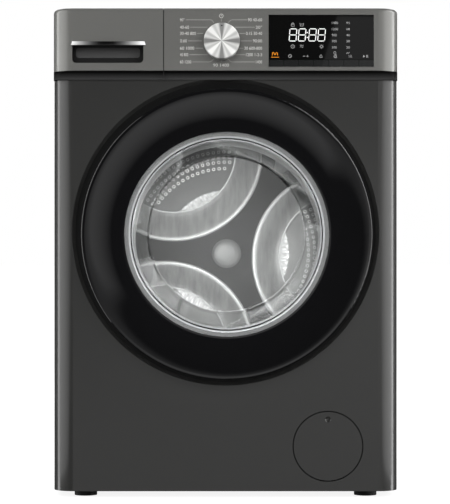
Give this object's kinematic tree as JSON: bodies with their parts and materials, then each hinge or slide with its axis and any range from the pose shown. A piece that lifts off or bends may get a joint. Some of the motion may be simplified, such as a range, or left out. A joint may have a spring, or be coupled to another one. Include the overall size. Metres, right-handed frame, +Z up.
{
  "type": "front load washing machine",
  "caption": "Free-standing front loading washing machine with a round glass door, a sprung tub and drum, a detergent drawer, a turning knob, push keys and a service flap.",
  "frame": {"origin": "on the floor under the middle of the whole machine's box", "axes": "+Z up, the front with the door faces -Y, +X to the right seen from the front"},
  "size_m": [0.597, 0.59, 0.845],
  "materials": {
    "body_paint": "satin",
    "worktop_board": "satin",
    "fascia_plastic": "satin",
    "flap_plastic": "satin",
    "display_black": "gloss",
    "key_black": "gloss",
    "knob_metal": "satin",
    "chrome_trim": "polished",
    "door_black": "gloss",
    "frame_grey": "satin",
    "door_glass": "gloss",
    "gasket_rubber": "matte",
    "hose_rubber": "matte",
    "drum_steel": "satin",
    "lifter_plastic": "satin",
    "tub_plastic": "matte",
    "concrete": "matte",
    "motor_metal": "satin",
    "cast_alloy": "satin",
    "bearing_steel": "satin",
    "spring_steel": "satin",
    "belt_rubber": "matte",
    "white_plastic": "satin",
    "base_plastic": "matte",
    "board_green": "satin",
    "foot_black": "matte",
    "fastener_zinc": "satin"
  },
  "bodies": {
    "cabinet": {"side_panels": "body_paint", "rear_panel": "body_paint", "rear_service_cover": "body_paint", "base_tray": "base_plastic", "flap_bezel": "base_plastic", "top_cover": "worktop_board", "front_panel": "body_paint", "control_fascia": "fascia_plastic", "display_window": "display_black", "control_board": "board_green", "dispenser_housing": "white_plastic", "inlet_valve": "white_plastic", "inner_hoses": "hose_rubber", "dispenser_bellows": "hose_rubber", "sump_hose": "hose_rubber", "drain_pump": "tub_plastic", "mains_gland": "base_plastic", "transit_bolt_caps": "base_plastic", "cabinet_fasteners": "fastener_zinc", "door_lock": "base_plastic", "door_hinge": "bearing_steel", "door_gasket": "gasket_rubber", "damper_cylinders": "base_plastic", "suspension_springs": "spring_steel"},
    "tub": {"tub_front": "tub_plastic", "tub_rear": "tub_plastic", "heater": "bearing_steel", "counterweights": "concrete", "drum_bearings": "bearing_steel", "motor_housing": "motor_metal", "drive_belt": "belt_rubber", "damper_rods": "bearing_steel"},
    "drum": {"drum_wrapper": "drum_steel", "drum_front_ring": "drum_steel", "drum_back_plate": "drum_steel", "drum_lifters": "lifter_plastic", "drum_spider": "cast_alloy", "drum_pulley": "cast_alloy"},
    "rotor": {"motor_pulley": "bearing_steel"},
    "door": {"door_ring": "door_black", "door_glass": "door_glass", "door_inner_frame": "frame_grey"},
    "hook": {"door_hook": "bearing_steel"},
    "drawer": {"drawer_front": "fascia_plastic", "drawer_grip": "chrome_trim", "drawer_tray": "white_plastic"},
    "knob": {"program_knob": "knob_metal"},
    "flap": {"service_flap": "flap_plastic"},
    "filter": {"filter_plug": "white_plastic"},
    "key_1": {"button_1": "key_black"},
    "key_2": {"button_2": "key_black"},
    "key_3": {"button_3": "key_black"},
    "key_4": {"button_4": "key_black"},
    "key_5": {"button_5": "key_black"},
    "key_6": {"button_6": "key_black"},
    "key_7": {"button_7": "key_black"},
    "leg_front_left": {"foot_front_left": "foot_black"},
    "leg_front_right": {"foot_front_right": "foot_black"},
    "leg_rear_left": {"foot_rear_left": "foot_black"},
    "leg_rear_right": {"foot_rear_right": "foot_black"}
  },
  "joints": [
    {"name": "tub_bounce", "type": "slide", "parent": "cabinet", "child": "tub", "axis": [0, 0, 1], "range_m": [-0.008, 0.008], "stiffness_N_per_m": 18000, "springref_m": 0.01756, "deforming": ["suspension_springs", "dispenser_bellows", "sump_hose", "door_gasket"]},
    {"name": "drum_spin", "type": "hinge", "parent": "tub", "child": "drum", "pos_m": [0.002, -0.199, 0.455], "axis": [0, 0.9949, -0.1011], "continuous": true},
    {"name": "motor_spin", "type": "hinge", "parent": "tub", "child": "rotor", "pos_m": [0.112, -0.23114, 0.13861], "axis": [0, 0.9949, -0.1011], "continuous": true},
    {"name": "door_swing", "type": "hinge", "parent": "cabinet", "child": "door", "pos_m": [-0.23, -0.275, 0.455], "axis": [0, 0, -1], "range_deg": [0, 150]},
    {"name": "hook_pivot", "type": "hinge", "parent": "door", "child": "hook", "pos_m": [0.217, -0.273, 0.455], "axis": [0, 0, 1], "range_deg": [0, 7], "stiffness_Nm_per_rad": 0.5},
    {"name": "drawer_slide", "type": "slide", "parent": "cabinet", "child": "drawer", "axis": [0, -1, 0], "range_m": [0, 0.2]},
    {"name": "knob_turn", "type": "hinge", "parent": "cabinet", "child": "knob", "pos_m": [-0.0065, -0.273, 0.7862], "axis": [0, 1, 0], "continuous": true},
    {"name": "flap_swing", "type": "hinge", "parent": "cabinet", "child": "flap", "pos_m": [0.177, -0.2548, 0.0235], "axis": [1, 0, 0], "range_deg": [0, 90]},
    {"name": "filter_turn", "type": "hinge", "parent": "cabinet", "child": "filter", "pos_m": [0.177, -0.246, 0.0887], "axis": [0, -1, 0], "range_deg": [0, 360]},
    {"name": "key_1_press", "type": "slide", "parent": "cabinet", "child": "key_1", "axis": [0, 1, 0], "range_m": [0, 0.0012], "stiffness_N_per_m": 1500},
    {"name": "key_2_press", "type": "slide", "parent": "cabinet", "child": "key_2", "axis": [0, 1, 0], "range_m": [0, 0.0012], "stiffness_N_per_m": 1500},
    {"name": "key_3_press", "type": "slide", "parent": "cabinet", "child": "key_3", "axis": [0, 1, 0], "range_m": [0, 0.0012], "stiffness_N_per_m": 1500},
    {"name": "key_4_press", "type": "slide", "parent": "cabinet", "child": "key_4", "axis": [0, 1, 0], "range_m": [0, 0.0012], "stiffness_N_per_m": 1500},
    {"name": "key_5_press", "type": "slide", "parent": "cabinet", "child": "key_5", "axis": [0, 1, 0], "range_m": [0, 0.0012], "stiffness_N_per_m": 1500},
    {"name": "key_6_press", "type": "slide", "parent": "cabinet", "child": "key_6", "axis": [0, 1, 0], "range_m": [0, 0.0012], "stiffness_N_per_m": 1500},
    {"name": "key_7_press", "type": "slide", "parent": "cabinet", "child": "key_7", "axis": [0, 1, 0], "range_m": [0, 0.0012], "stiffness_N_per_m": 1500},
    {"name": "leg_front_left_level", "type": "slide", "parent": "cabinet", "child": "leg_front_left", "axis": [0, 0, -1], "range_m": [0, 0.012]},
    {"name": "leg_front_right_level", "type": "slide", "parent": "cabinet", "child": "leg_front_right", "axis": [0, 0, -1], "range_m": [0, 0.012]},
    {"name": "leg_rear_left_level", "type": "slide", "parent": "cabinet", "child": "leg_rear_left", "axis": [0, 0, -1], "range_m": [0, 0.012]},
    {"name": "leg_rear_right_level", "type": "slide", "parent": "cabinet", "child": "leg_rear_right", "axis": [0, 0, -1], "range_m": [0, 0.012]}
  ],
  "couplings": [
    {"joint": "motor_spin", "follows": "drum_spin", "ratio": 11.569}
  ]
}
